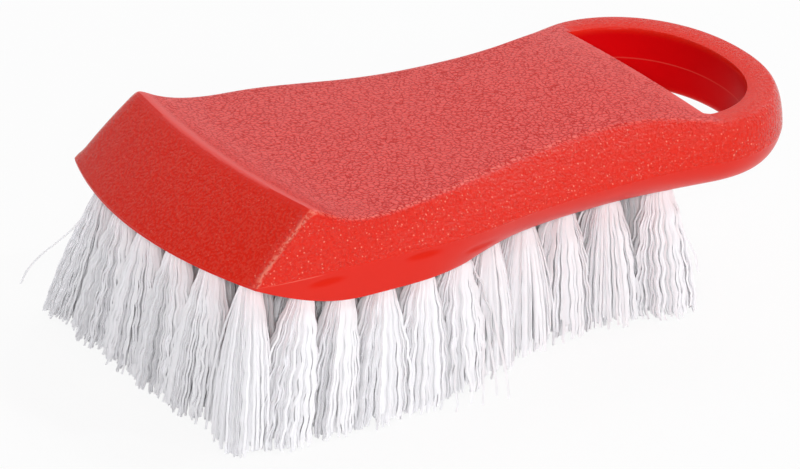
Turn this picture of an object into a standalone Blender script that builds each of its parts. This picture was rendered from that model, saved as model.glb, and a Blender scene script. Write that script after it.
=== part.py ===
"""A cutting board brush: a waisted plastic block with a hanging loop, and staple-set tufts of crimped bristle.

The block is drawn in its own frame, with x along the brush from the lower corners of the nose towards the
loop, y across it and z up from the mould's parting line. An empty then moves it so that the origin lies
under the middle of the brush, on the plane that the bristle tips stand on.
"""

import math

import bmesh
import bpy
from mathutils import Matrix, Vector

MM = 0.001

# Block, along its length
BODY_LENGTH = 127.0 * MM  # nose corners to the middle of the loop's oval
NOSE_SLOPE = 15.5 * MM  # how far the nose leans back from its lower to its upper edge
NOSE_BOW_LOW = 7.0 * MM  # how far the nose's lower edge bulges forwards at the middle
NOSE_BOW_TOP = 3.2 * MM
BOW_FADE = 62.0 * MM  # the bulge is gone this far behind the nose
ROCKER_LENGTH = 27.0 * MM  # the underside curves up to the nose over this length

# Block, across
BLOCK_WIDTH = 84.0 * MM
LOOP_TOP_WIDTH = 69.0 * MM
LOOP_WIDTH = 75.6 * MM
LOOP_UNDER_WIDTH = 66.0 * MM
LOOP_TOP_REACH = 26.6 * MM  # the loop's oval beyond BODY_LENGTH, at its upper edge
LOOP_REACH = 28.5 * MM
LOOP_UNDER_REACH = 24.0 * MM

# Block, heights above and below the parting line
NOSE_RISE = 14.2 * MM
LOOP_END_RISE = 8.4 * MM
BASE_DEPTH = 8.3 * MM
NOSE_LIP = 0.8 * MM  # depth of the rim under the nose's lower edge
LOOP_DEPTH = 6.8 * MM
CROWN = 0.8 * MM  # how much higher the top face is at its middle than at its edges
TRIM = 30.6 * MM  # free length of the bristle, from the flat underside to the tips

# Hole in the loop: an oval cut off straight on the block's side
HOLE_WALL_INSET = 2.7 * MM  # the straight wall, ahead of the end of BODY_LENGTH
HOLE_CENTRE_INSET = 1.0 * MM  # the middle of the hole's oval, likewise
HOLE_REACH = 21.8 * MM
HOLE_WIDTH = 57.6 * MM

# Tuft rows, each across the brush
TUFTS_IN_ROWS = (6, 6, 6, 6, 6, 6, 5, 4, 4, 4, 5)
FIRST_ROW_AT = 6.5 * MM
LAST_ROW_INSET = 8.1 * MM  # ahead of the hole's straight wall
PITCH_GROWTH_SHARE = 0.04  # each pitch is longer than the first by this share more
NOSE_ROW_INSET = 9.8 * MM  # the nose row's outermost tufts, in from the underside's edge
ROW_INSET = 5.4 * MM

# One tuft: a round plug of folded roots, and below it the bristle, drawn as a few thick strands
TUFT_DIAMETER = 5.2 * MM
PLUG_LENGTH = 5.6 * MM  # how deep the tuft is set
PLUG_STANDOFF = 0.6 * MM  # how far the plug stands out of its hole
CLEARANCE = 0.3 * MM
STRANDS_IN_TUFT = 7
STRAND_GAP = 0.5 * MM
STRAND_REACH_SHARE = 0.4  # half the width of a strand, as a share of the tuft's radius
TIP_SPREAD = 4.6 * MM  # from the middle of a tuft's tips to the middle of an outer strand
TIP_GAP = 0.7 * MM  # left between the tips of neighbouring tufts
TIP_GROWTH_SHARE = 1.1  # width of a strand's tip, as a share of its width at the root
BEND_SHARE = 0.45  # where a strand bends, as a share of its length
BEND_SPREAD_SHARE = 0.6  # how much of the spread is there by the bend
CRIMP = 0.7 * MM  # how far the bend lies to one side
TWIST_STEP_SHARE = 0.38  # of a turn, between one tuft and the next

# How far the tips lean away from their roots
NOSE_LEAN = 2.6 * MM  # forwards, at the middle of the nose row
NOSE_CORNER_LEAN = 3.2 * MM  # more of it at the nose's corners
REAR_LEAN = 3.0 * MM
SIDE_LEAN = 4.6 * MM
NOSE_SIDE_LEAN = 6.4 * MM  # at the corners of the nose row
NOSE_LEAN_SHARES = (1.0, 0.5, 0.25, 0.1)  # of the nose lean, row by row
REAR_LEAN_SHARES = (1.0, 0.35)  # of the rear lean, counted from the last row

OVERRUN = 4.0 * MM  # how far a cut starts outside the block

# Mesh steps
ACROSS_STEPS = 8
LOWER_SIDE_STEPS = 3
UPPER_SIDE_STEPS = 4
BODY_STEPS = 24
BODY_STEP_POWER = 1.2  # above 1, the steps are shorter near the nose
LOOP_STEPS = 10
HOLE_STEPS = 44
DRILL_STEPS = 8

# Shares of BODY_LENGTH, and the half width there as a share of half of BLOCK_WIDTH
TOP_WIDTH_SHARES = (
    (0.122, 0.952), (0.197, 0.960), (0.276, 0.935), (0.354, 0.898), (0.433, 0.829), (0.512, 0.747),
    (0.591, 0.690), (0.669, 0.650), (0.748, 0.630), (0.827, 0.645), (0.906, 0.702), (0.961, 0.770),
    (1.0, LOOP_TOP_WIDTH / BLOCK_WIDTH),
)
PARTING_WIDTH_SHARES = (
    (0.0, 0.988), (0.04, 0.998), (0.20, 1.003), (0.394, 1.006), (0.472, 0.978), (0.551, 0.928),
    (0.654, 0.881), (0.764, 0.858), (0.858, 0.858), (0.929, 0.877), (1.0, LOOP_WIDTH / BLOCK_WIDTH),
)
UNDER_WIDTH_SHARES = (
    (0.0, 0.978), (0.04, 0.990), (0.20, 0.995), (0.33, 0.990), (0.378, 0.966), (0.425, 0.925),
    (0.48, 0.850), (0.528, 0.770), (0.567, 0.715), (0.63, 0.655), (0.732, 0.612), (0.80, 0.605),
    (0.88, 0.640), (1.0, LOOP_UNDER_WIDTH / BLOCK_WIDTH),
)
# Shares of BODY_LENGTH, and the height of the top face there as a share of NOSE_RISE
TOP_RISE_SHARES = (
    (0.122, 1.0), (0.157, 0.855), (0.19, 0.738), (0.224, 0.668), (0.268, 0.632), (0.354, 0.632),
    (0.472, 0.627), (0.591, 0.635), (0.709, 0.680), (0.827, 0.712), (0.89, 0.705), (0.945, 0.652),
    (1.0, 0.592),
)
# Shares of BODY_LENGTH, and how round the sides are there, from 0, flat, to 1, a quarter of an ellipse
UPPER_ROUND_SHARES = ((0.0, 0.1), (0.25, 0.15), (0.5, 0.45), (0.7, 0.55), (0.88, 0.7), (1.0, 1.0))
LOWER_ROUND_SHARES = ((0.0, 0.1), (0.36, 0.15), (0.52, 0.6), (0.65, 0.85), (0.9, 0.9), (1.0, 0.7))
LOOP_DROP_SHARES = (0.86, 1.0)  # where the underside rises from BASE_DEPTH to LOOP_DEPTH


def smooth_table(table, at):
    """The value of a table of (place, value) pairs at a place, on a smooth curve through the pairs."""
    if at <= table[0][0]:
        return table[0][1]
    if at >= table[-1][0]:
        return table[-1][1]
    i = max(k for k in range(len(table) - 1) if table[k][0] <= at)

    def slope(k):
        if k in (0, len(table) - 1):
            return 0.0
        return (table[k + 1][1] - table[k - 1][1]) / (table[k + 1][0] - table[k - 1][0])

    (a, low), (b, high) = table[i], table[i + 1]
    span = b - a
    t = (at - a) / span
    return (
        low * (1 + 2 * t) * (1 - t) ** 2
        + slope(i) * span * t * (1 - t) ** 2
        + high * t * t * (3 - 2 * t)
        + slope(i + 1) * span * t * t * (t - 1)
    )


def half_width(shares, along):
    return smooth_table(shares, along / BODY_LENGTH) * BLOCK_WIDTH / 2


def nose_bow(bow, along):
    """The forward bulge that is left at a distance behind the nose."""
    return bow * max(0.0, 1 - along / BOW_FADE)


def base_depth(along):
    """Depth of the underside below the parting line, at a distance behind the nose."""
    rocker = math.sin(math.pi / 2 * min(1.0, along / ROCKER_LENGTH))
    depth = NOSE_LIP + (BASE_DEPTH - NOSE_LIP) * rocker
    start, end = LOOP_DROP_SHARES
    t = min(1.0, max(0.0, (along / BODY_LENGTH - start) / (end - start)))
    return depth - (BASE_DEPTH - LOOP_DEPTH) * t * t * (3 - 2 * t)


class Station:
    """One ring round the block: the half outline's places at the upper edge, parting line and underside."""

    def __init__(self, top, parting, under, rise, depth, along):
        self.top, self.parting, self.under = Vector(top), Vector(parting), Vector(under)
        self.rise, self.depth = rise, depth
        self.upper_round = smooth_table(UPPER_ROUND_SHARES, along / BODY_LENGTH)
        self.lower_round = smooth_table(LOWER_ROUND_SHARES, along / BODY_LENGTH)
        self.bow_low = nose_bow(NOSE_BOW_LOW, along)
        self.bow_top = nose_bow(NOSE_BOW_TOP, along)

    def level(self, step):
        """Place in plan, height, and share of the height for one level of the side, counted from the underside."""
        if step <= LOWER_SIDE_STEPS:
            t = step / LOWER_SIDE_STEPS
            out = t + (math.sin(t * math.pi / 2) - t) * self.lower_round
            up = t + (1 - math.cos(t * math.pi / 2) - t) * self.lower_round
            return self.under.lerp(self.parting, out), -self.depth * (1 - up), 0.0
        t = (step - LOWER_SIDE_STEPS) / UPPER_SIDE_STEPS
        inwards = t + (1 - math.cos(t * math.pi / 2) - t) * self.upper_round
        up = t + (math.sin(t * math.pi / 2) - t) * self.upper_round
        return self.parting.lerp(self.top, inwards), self.rise * up, up

    def point(self, across, step):
        """A point of the ring: across runs from -1 to 1, and step from the underside to the top face."""
        place, height, share = self.level(step)
        bulge = 1 - across * across
        bow = self.bow_low + (self.bow_top - self.bow_low) * share
        crown = CROWN * bulge if step == LOWER_SIDE_STEPS + UPPER_SIDE_STEPS else 0.0
        return Vector((place.x - bow * bulge, place.y * across, height + crown * self.crown_share()))

    def crown_share(self):
        """The crown grows from nothing at the nose's upper edge."""
        return min(1.0, max(0.0, (self.top.x - NOSE_SLOPE) / (BODY_LENGTH - NOSE_SLOPE) * 4))


def body_station(share):
    top_at = NOSE_SLOPE + share * (BODY_LENGTH - NOSE_SLOPE)
    along = share * BODY_LENGTH
    return Station(
        (top_at, half_width(TOP_WIDTH_SHARES, top_at)),
        (along, half_width(PARTING_WIDTH_SHARES, along)),
        (along, half_width(UNDER_WIDTH_SHARES, along)),
        smooth_table(TOP_RISE_SHARES, top_at / BODY_LENGTH) * NOSE_RISE,
        base_depth(along),
        along,
    )


def loop_station(angle):
    """A ring on the loop's ovals, from 0, abreast of their middle, to a quarter turn, at the loop's end."""
    def oval(reach, width):
        return BODY_LENGTH + reach * math.sin(angle), width / 2 * math.cos(angle)

    start = TOP_RISE_SHARES[-1][1] * NOSE_RISE
    return Station(
        oval(LOOP_TOP_REACH, LOOP_TOP_WIDTH),
        oval(LOOP_REACH, LOOP_WIDTH),
        oval(LOOP_UNDER_REACH, LOOP_UNDER_WIDTH),
        start + (LOOP_END_RISE - start) * math.sin(angle),
        LOOP_DEPTH,
        BODY_LENGTH,
    )


def stations():
    body = [body_station((i / BODY_STEPS) ** BODY_STEP_POWER) for i in range(BODY_STEPS + 1)]
    return body + [loop_station(math.pi / 2 * i / LOOP_STEPS) for i in range(1, LOOP_STEPS + 1)]


def plastic(name, colour, roughness, metallic=0.0):
    material = bpy.data.materials.new(name)
    material.use_nodes = True
    shader = material.node_tree.nodes["Principled BSDF"]
    shader.inputs["Base Color"].default_value = (*colour, 1.0)
    shader.inputs["Roughness"].default_value = roughness
    shader.inputs["Metallic"].default_value = metallic
    return material


def add_object(name, bm, material, parent, smooth_angle=math.radians(35)):
    mesh = bpy.data.meshes.new(name)
    bmesh.ops.recalc_face_normals(bm, faces=bm.faces)
    bm.to_mesh(mesh)
    bm.free()
    mesh.shade_smooth()
    mesh.set_sharp_from_angle(angle=smooth_angle)
    thing = bpy.data.objects.new(name, mesh)
    if material:
        mesh.materials.append(material)
    bpy.context.scene.collection.objects.link(thing)
    thing.parent = parent
    return thing


def cut_out(thing, cutter):
    modifier = thing.modifiers.new(cutter.name, "BOOLEAN")
    modifier.operation = "DIFFERENCE"
    modifier.object = cutter
    cutter.hide_render = True
    cutter.display_type = "WIRE"


def block_mesh():
    """The nose face is a grid. Its rim is then drawn out ring by ring to the end of the loop, where it closes."""
    levels = LOWER_SIDE_STEPS + UPPER_SIDE_STEPS
    rings = stations()
    bm = bmesh.new()
    made = bmesh.ops.create_grid(bm, x_segments=ACROSS_STEPS, y_segments=levels, size=1)
    places = {}
    for vert in made["verts"]:
        across = vert.co.x
        step = round((vert.co.y + 1) / 2 * levels)
        places[vert] = (across, step)
    for vert, (across, step) in places.items():
        vert.co = rings[0].point(across, step)
    rim = [edge for edge in bm.edges if edge.is_boundary]
    for ring in rings[1:]:
        before = [vert for edge in rim for vert in edge.verts]
        grown = bmesh.ops.extrude_edge_only(bm, edges=rim)
        fresh = [item for item in grown["geom"] if isinstance(item, bmesh.types.BMVert)]
        rim = [item for item in grown["geom"] if isinstance(item, bmesh.types.BMEdge)]
        rim = [edge for edge in rim if all(vert in fresh for vert in edge.verts)]
        older = set(before)
        for vert in fresh:
            source = next(v for edge in vert.link_edges for v in edge.verts if v in older)
            places[vert] = places[source]
        for vert in fresh:
            vert.co = ring.point(*places[vert])
    bmesh.ops.remove_doubles(bm, verts=bm.verts, dist=CLEARANCE / 100)
    return bm


def hole_cutter(parent):
    """A drum with the hole's oval section, cut off straight where the block begins."""
    bm = bmesh.new()
    bmesh.ops.create_circle(bm, cap_ends=True, segments=HOLE_STEPS, radius=1)
    bmesh.ops.scale(bm, verts=bm.verts, vec=(HOLE_REACH, HOLE_WIDTH / 2, 1))
    low = -(BASE_DEPTH + OVERRUN)
    bmesh.ops.translate(bm, verts=bm.verts, vec=(BODY_LENGTH - HOLE_CENTRE_INSET, 0, low))
    bmesh.ops.bisect_plane(
        bm,
        geom=[*bm.verts, *bm.edges, *bm.faces],
        plane_co=(BODY_LENGTH - HOLE_WALL_INSET, 0, 0),
        plane_no=(-1, 0, 0),
        clear_outer=True,
    )
    face = bm.faces[:]
    grown = bmesh.ops.extrude_face_region(bm, geom=face, use_keep_orig=True)
    top = [item for item in grown["geom"] if isinstance(item, bmesh.types.BMVert)]
    bmesh.ops.translate(bm, verts=top, vec=(0, 0, NOSE_RISE + OVERRUN - low))
    return add_object("hole_cutter", bm, None, parent)


class Row:
    """One row of tufts across the brush."""

    def __init__(self, index):
        rows = len(TUFTS_IN_ROWS)
        last_at = BODY_LENGTH - HOLE_WALL_INSET - LAST_ROW_INSET
        gaps = rows - 1
        first_pitch = (last_at - FIRST_ROW_AT) / (gaps + PITCH_GROWTH_SHARE * gaps * (gaps - 1) / 2)
        self.index = index
        self.count = TUFTS_IN_ROWS[index]
        self.at = FIRST_ROW_AT + first_pitch * (index + PITCH_GROWTH_SHARE * index * (index - 1) / 2)
        self.under_half = half_width(UNDER_WIDTH_SHARES, self.at)
        self.reach = self.under_half - (NOSE_ROW_INSET if index == 0 else ROW_INSET)
        self.side_lean = NOSE_SIDE_LEAN if index == 0 else SIDE_LEAN
        from_rear = rows - 1 - index
        self.nose_share = NOSE_LEAN_SHARES[index] if index < len(NOSE_LEAN_SHARES) else 0.0
        self.rear_share = REAR_LEAN_SHARES[from_rear] if from_rear < len(REAR_LEAN_SHARES) else 0.0
        pitch_along = first_pitch * (1 + PITCH_GROWTH_SHARE * max(0, index - 1))
        pitch_across = 2 * self.reach / (self.count - 1)
        self.spread = Vector((spread_within(pitch_along), spread_within(pitch_across), 0))

    def tuft(self, number):
        """The middle of a tuft's root and the middle of its tips."""
        share = 2 * number / (self.count - 1) - 1
        y = self.reach * share
        bulge = 1 - (y / self.under_half) ** 2
        root = Vector((self.at - nose_bow(NOSE_BOW_LOW, self.at) * bulge, y, -base_depth(self.at)))
        forwards = self.nose_share * (NOSE_LEAN + NOSE_CORNER_LEAN * share * share)
        tip = Vector((
            root.x + self.rear_share * REAR_LEAN - forwards,
            root.y + self.side_lean * share * abs(share),
            -(BASE_DEPTH + TRIM),
        ))
        return root, tip


def spread_within(pitch):
    """How far a tuft's tips may spread where its neighbour is one pitch away."""
    strand_reach = STRAND_REACH_SHARE * TUFT_DIAMETER / 2
    return min(TIP_SPREAD, (pitch - TIP_GAP) / 2 - strand_reach)


def shaft(bm, root, tip, radius, sides, above, below, twist=0.0):
    """A round bar on the line from root to tip, from above the root to below it."""
    axis = (tip - root).normalized()
    middle = root + axis * (below - above) / 2
    turn = axis.to_track_quat("-Z", "Y").to_matrix().to_4x4()
    made = bmesh.ops.create_cone(
        bm,
        cap_ends=True,
        cap_tris=True,
        segments=sides,
        radius1=radius,
        radius2=radius,
        depth=above + below,
        matrix=Matrix.Translation(middle) @ turn @ Matrix.Rotation(twist, 4, "Z"),
    )
    return axis, made["verts"]


def draw_out(bm, faces, middle, spread, growth, side, level=None):
    """Draw each face out to its own place round a middle, and cut it level there if a height is given."""
    grown = bmesh.ops.extrude_discrete_faces(bm, faces=faces)["faces"]
    whole = sum((face.calc_center_median() for face in grown), Vector()) / len(grown)
    for face in grown:
        centre = face.calc_center_median()
        out = (centre - whole).xy.normalized().to_3d()
        place = middle + out * spread + Vector((-out.y, out.x, 0)) * side
        bmesh.ops.scale(
            bm, verts=face.verts, vec=(growth, growth, growth), space=Matrix.Translation(-centre)
        )
        bmesh.ops.translate(bm, verts=face.verts, vec=place - centre)
        if level is not None:
            for vert in face.verts:
                vert.co.z = level
    return grown


def tuft_mesh(row, number):
    """A plug whose lower end is split into sectors, each drawn out to a strand with one bend."""
    root, tip = row.tuft(number)
    mirrored = root.y < 0
    root.y, tip.y = abs(root.y), abs(tip.y)
    bm = bmesh.new()
    twist = 2 * math.pi * TWIST_STEP_SHARE * (row.index + abs(2 * number - row.count + 1))
    axis, _ = shaft(
        bm, root, tip, TUFT_DIAMETER / 2, STRANDS_IN_TUFT, PLUG_LENGTH, PLUG_STANDOFF, twist
    )
    bm.normal_update()
    sectors = [face for face in bm.faces if face.normal.dot(axis) > math.cos(math.radians(45))]
    bmesh.ops.inset_individual(bm, faces=sectors, thickness=STRAND_GAP / 2)
    bend_spread = row.spread * BEND_SPREAD_SHARE
    bent = draw_out(bm, sectors, root.lerp(tip, BEND_SHARE), bend_spread, 1.0, CRIMP)
    draw_out(bm, bent, tip, row.spread, TIP_GROWTH_SHARE, 0.0, tip.z)
    if mirrored:
        bmesh.ops.scale(bm, verts=bm.verts, vec=(1, -1, 1))
    return bm


def make_block(parent, rows):
    red = plastic("red_plastic", (0.72, 0.03, 0.02), 0.42)
    block = add_object("block_handle", block_mesh(), red, parent)
    cut_out(block, hole_cutter(parent))
    bm = bmesh.new()
    radius = (TUFT_DIAMETER / 2 + CLEARANCE) / math.cos(math.pi / DRILL_STEPS)
    for row in rows:
        for number in range(row.count):
            root, tip = row.tuft(number)
            shaft(bm, root, tip, radius, DRILL_STEPS, PLUG_LENGTH + CLEARANCE, OVERRUN)
    cut_out(block, add_object("tuft_drills", bm, None, parent))
    return block


def make_tufts(parent, rows):
    white = plastic("white_bristle", (0.88, 0.88, 0.9), 0.35)
    for row in rows:
        for number in range(row.count):
            name = f"tuft_{row.index + 1:02d}_{number + 1}"
            add_object(name, tuft_mesh(row, number), white, parent)


def front_reach(rows):
    """How far forwards the nose or the foremost tips reach."""
    tips = min(row.tuft(number)[1].x - row.spread.x for row in rows for number in range(row.count))
    return min(tips - STRAND_REACH_SHARE * TUFT_DIAMETER / 2, -NOSE_BOW_LOW)


def main():
    for thing in list(bpy.data.objects):
        bpy.data.objects.remove(thing)
    rows = [Row(index) for index in range(len(TUFTS_IN_ROWS))]
    origin = bpy.data.objects.new("brush_origin", None)
    bpy.context.scene.collection.objects.link(origin)
    middle = (front_reach(rows) + BODY_LENGTH + LOOP_REACH) / 2
    origin.location = (-middle, 0, BASE_DEPTH + TRIM)
    make_block(origin, rows)
    make_tufts(origin, rows)


main()
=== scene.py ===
# %% [markdown]
# # A cutting board brush
#
# This lesson builds the looks of a small scrub brush: a red moulded block with a sloping nose, a waist and a
# hanging loop, and tufts of white crimped bristle below it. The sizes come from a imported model, the frame.
# The block here is a finer mesh than the frame's, and every tuft stands exactly where the frame has one.

import math
import random

import bmesh
import bpy
from mathutils import Matrix, Vector


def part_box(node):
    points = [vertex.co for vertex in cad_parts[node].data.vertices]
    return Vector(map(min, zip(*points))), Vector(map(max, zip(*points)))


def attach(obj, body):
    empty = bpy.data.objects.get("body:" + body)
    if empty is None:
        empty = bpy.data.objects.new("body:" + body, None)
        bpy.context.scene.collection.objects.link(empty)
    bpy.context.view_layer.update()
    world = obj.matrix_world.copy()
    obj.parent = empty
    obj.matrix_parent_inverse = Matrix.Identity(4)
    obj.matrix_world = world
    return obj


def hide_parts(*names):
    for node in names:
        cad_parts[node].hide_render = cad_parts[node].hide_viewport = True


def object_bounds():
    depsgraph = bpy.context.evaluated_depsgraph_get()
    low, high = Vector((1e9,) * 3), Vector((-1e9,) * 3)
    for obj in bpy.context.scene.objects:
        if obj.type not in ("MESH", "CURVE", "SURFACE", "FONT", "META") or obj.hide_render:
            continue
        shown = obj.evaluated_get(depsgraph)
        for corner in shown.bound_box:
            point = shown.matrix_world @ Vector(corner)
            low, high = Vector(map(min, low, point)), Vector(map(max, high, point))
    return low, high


MM = 0.001
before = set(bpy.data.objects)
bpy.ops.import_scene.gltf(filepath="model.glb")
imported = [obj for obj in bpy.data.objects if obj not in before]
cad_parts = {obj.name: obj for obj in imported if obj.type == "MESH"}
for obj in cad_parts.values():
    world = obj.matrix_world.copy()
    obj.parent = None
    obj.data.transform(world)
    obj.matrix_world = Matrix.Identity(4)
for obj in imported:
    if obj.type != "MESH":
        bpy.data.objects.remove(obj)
CAD_BOX = [list(corner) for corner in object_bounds()]
BLOCK_LOW, BLOCK_HIGH = (Vector(corner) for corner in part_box("block_handle"))
TUFT_NODES = sorted(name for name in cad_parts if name.startswith("tuft_"))
measures = [round((high - low) / MM, 1) for low, high in zip(*CAD_BOX)]
print("the brush measures", measures, "mm, with", len(TUFT_NODES), "tufts")

# %% [markdown]
# ## The camera
#
# The photograph looks down on the near side of the brush from the left, through a long lens. The camera is
# placed by an angle round the brush, an angle above the floor and a distance, which is how a photographer
# would describe it. A long lens far away keeps the far side of the brush nearly as large as the near side.

# %% Camera
CAMERA_AZIMUTH = math.radians(-31.11)
CAMERA_ELEVATION = math.radians(24.30)
CAMERA_ROLL = math.radians(-0.21)
CAMERA_DISTANCE = 1315.8 * MM
CAMERA_LENS = 260.2  # millimetres of focal length on a sensor 36 mm wide
CAMERA_TARGET = Vector((-13.05, 0.0, 21.3)) * MM
CAMERA_SIGHT = 10  # metres, far enough for the whole floor


def make_camera():
    camera = bpy.data.objects.new("camera", bpy.data.cameras.new("camera"))
    bpy.context.scene.collection.objects.link(camera)
    camera.data.lens = CAMERA_LENS
    camera.data.clip_end = CAMERA_SIGHT
    turn = (
        Matrix.Rotation(CAMERA_AZIMUTH, 4, "Z")
        @ Matrix.Rotation(math.pi / 2 - CAMERA_ELEVATION, 4, "X")
        @ Matrix.Rotation(CAMERA_ROLL, 4, "Z")
    )
    back = turn @ Vector((0, 0, 1))
    camera.matrix_world = Matrix.Translation(CAMERA_TARGET + back * CAMERA_DISTANCE) @ turn
    bpy.context.scene.camera = camera
    return camera


camera = make_camera()
print("camera stands at", [round(c, 3) for c in camera.matrix_world.translation])

# %% [markdown]
# ## Small helpers
#
# A few helpers are used all through the lesson. One turns a bmesh into an object, and lets it ride on the
# brush's only body. The others add shader nodes and set their sockets, so that a material reads as a short
# list.

# %% Helpers for objects and shader nodes
SHARP_ANGLE = math.radians(35)  # where two faces meet at more than this, the edge is shaded as sharp


def add_piece(name, bm, material, slot=None, sharp=SHARP_ANGLE):
    mesh = bpy.data.meshes.new(name)
    bm.to_mesh(mesh)
    bm.free()
    mesh.shade_smooth()
    mesh.set_sharp_from_angle(angle=sharp)
    mesh.materials.append(material)
    piece = bpy.data.objects.new(name, mesh)
    bpy.context.scene.collection.objects.link(piece)
    if slot:
        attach(piece, "root")
    return piece


def new_material(name):
    material = bpy.data.materials.new(name)
    material.use_nodes = True
    return material, material.node_tree, material.node_tree.nodes["Principled BSDF"]


def add_node(tree, kind, sockets=None, **settings):
    """Add a node. A socket's value is a number, a colour or another node's output."""
    node = tree.nodes.new("ShaderNode" + kind)
    for key, value in settings.items():
        setattr(node, key, value)
    for key, value in (sockets or {}).items():
        if isinstance(value, bpy.types.NodeSocket):
            tree.links.new(value, node.inputs[key])
        else:
            node.inputs[key].default_value = value
    return node


def math_node(tree, operation, a, b):
    return add_node(tree, "Math", {0: a, 1: b}, operation=operation).outputs[0]


def times(tree, product, *factors):
    for factor in factors:
        product = math_node(tree, "MULTIPLY", product, factor)
    return product


def mix_colours(tree, share, a, b):
    """Colour a where the share is 0, colour b where it is 1."""
    return add_node(tree, "Mix", {"Factor": share, "A": a, "B": b}, data_type="RGBA").outputs["Result"]


# %% [markdown]
# ## Floor, background and light
#
# The photograph is a product shot on pure white, lit softly from all round. A large plane is the floor. What
# the camera sees of it is mostly plain white, mixed with a little of the lit floor, so that a faint shadow
# stays under the bristles.
#
# The brush is lit by a pale world and six lamps. The front lamp stands close to the camera's line of sight,
# so it reaches into the gaps between the tufts. The back lamp lays a soft light on the top face and along
# the ridge of the nose. The other four are weak and small, and stand where the sides and the rolled edges
# mirror them, because only a small lamp makes the grain of a moulding glint.

# %% Floor
FLOOR_SIZE = 6.0
FLOOR_WHITE_SHARE = 0.9  # how much of the floor that is seen is plain white
FLOOR_GREY = (0.9, 0.9, 0.9, 1)
FLOOR_ROUGHNESS = 0.9
FLOOR_GLOSS = 0.1


def ray_that_sees(tree):
    """1 for a ray from the camera or by way of a reflection or a clear body, 0 for one that carries light."""
    path = add_node(tree, "LightPath").outputs
    seen = math_node(tree, "MAXIMUM", path["Is Camera Ray"], path["Is Glossy Ray"])
    return math_node(tree, "MAXIMUM", seen, path["Is Transmission Ray"])


def plain_white_where_seen(tree, lit, share):
    amount = times(tree, ray_that_sees(tree), share)
    white = add_node(tree, "Emission", {"Color": (1, 1, 1, 1), "Strength": 1.0})
    return add_node(tree, "MixShader", {0: amount, 1: lit, 2: white.outputs[0]})


def make_floor():
    bm = bmesh.new()
    bmesh.ops.create_grid(bm, x_segments=1, y_segments=1, size=FLOOR_SIZE / 2)
    material, tree, shader = new_material("pale_floor")
    shader.inputs["Base Color"].default_value = FLOOR_GREY
    shader.inputs["Roughness"].default_value = FLOOR_ROUGHNESS
    shader.inputs["Specular IOR Level"].default_value = FLOOR_GLOSS
    mixed = plain_white_where_seen(tree, shader.outputs[0], FLOOR_WHITE_SHARE)
    tree.links.new(mixed.outputs[0], tree.nodes["Material Output"].inputs["Surface"])
    floor = add_piece("floor", bm, material)


make_floor()

# %% World and lamps
WORLD_COLOUR = (0.97, 0.98, 1.0, 1)
WORLD_STRENGTH = 0.33
LAMPS = {
    # name: (angle round the brush from its near side, elevation, distance, size, power in watts)
    "shoulder_lamp": (80, 58, 1.2, 0.2, 1.8),
    "side_lamp": (42, 45, 1.2, 0.08, 1.9),
    "low_lamp": (4, 18, 1.2, 0.12, 1.0),
    "edge_lamp": (122, 46, 1.2, 0.4, 2.2),
    "front_lamp": (-31, 24.5, 2.2, 0.3, 18.5),
    "back_lamp": (162, 45, 2.0, 1.0, 4.6),
}


def make_world():
    world = bpy.data.worlds.new("pale_world")
    bpy.context.scene.world = world
    world.use_nodes = True
    tree = world.node_tree
    background = tree.nodes["Background"]
    background.inputs["Color"].default_value = WORLD_COLOUR
    strengths = {"Value": ray_that_sees(tree), "To Min": WORLD_STRENGTH, "To Max": 1.0}
    tree.links.new(add_node(tree, "MapRange", strengths).outputs[0], background.inputs["Strength"])


def make_lamp(name, azimuth, elevation, distance, size, power):
    lamp = bpy.data.objects.new(name, bpy.data.lights.new(name, "AREA"))
    bpy.context.scene.collection.objects.link(lamp)
    lamp.data.size = size
    lamp.data.energy = power
    turn = Matrix.Rotation(math.radians(azimuth), 4, "Z")
    turn @= Matrix.Rotation(math.radians(90 - elevation), 4, "X")
    lamp.matrix_world = Matrix.Translation(turn @ Vector((0, 0, distance))) @ turn


bpy.context.scene.view_settings.view_transform = "Standard"
make_world()
for lamp_name, lamp_values in LAMPS.items():
    make_lamp(lamp_name, *lamp_values)
print("lamps:", ", ".join(LAMPS))

# %% [markdown]
# ## The shape of the block
#
# The real block is one heavy moulding of polypropylene, made in a mould that opens along a line round its
# sides. It could be sculpted, but its shape follows simple rules, so it is lofted: a ring of points is drawn
# round the block at each place along it, and the rings are joined. All its sizes are real ones, measured
# from the lower corners of the nose, with heights above and below the mould's parting line.

# %% Sizes of the block
BODY_LENGTH = 127.0 * MM  # from the lower corners of the nose to where the loop begins
BLOCK_WIDTH = 84.0 * MM
NOSE_SLOPE = 15.5 * MM  # the ridge of the nose lies this far behind its lower corners
NOSE_RISE = 14.2 * MM
NOSE_LIP = 0.8 * MM  # depth of the underside at the nose
NOSE_BOW_LOW = 7.0 * MM  # how far the nose bows forward, at the parting line
NOSE_BOW_TOP = 3.2 * MM  # and at the ridge
BOW_FADE = 62.0 * MM  # the bow is gone this far along
ROCKER_LENGTH = 27.0 * MM  # the underside curves up to the nose over this length
BASE_DEPTH = 8.3 * MM
CROWN = 0.8 * MM  # the top face is this much higher in its middle
CROWN_LENGTH = 30 * MM  # and reaches that over this length
LOOP_DEPTH = 6.8 * MM
LOOP_END_RISE = 8.4 * MM  # the far end of the loop is this far above the parting line
LOOP_WIDTHS = {"top": 69.0 * MM, "parting": 75.6 * MM, "under": 66.0 * MM}
LOOP_REACHES = {"top": 26.6 * MM, "parting": 28.5 * MM, "under": 24.0 * MM}
HOLE_WALL_AT = 124.3 * MM
HOLE_CENTRE_AT = 126.0 * MM
HOLE_REACH = 21.8 * MM
HOLE_WIDTH = 57.6 * MM

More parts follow.
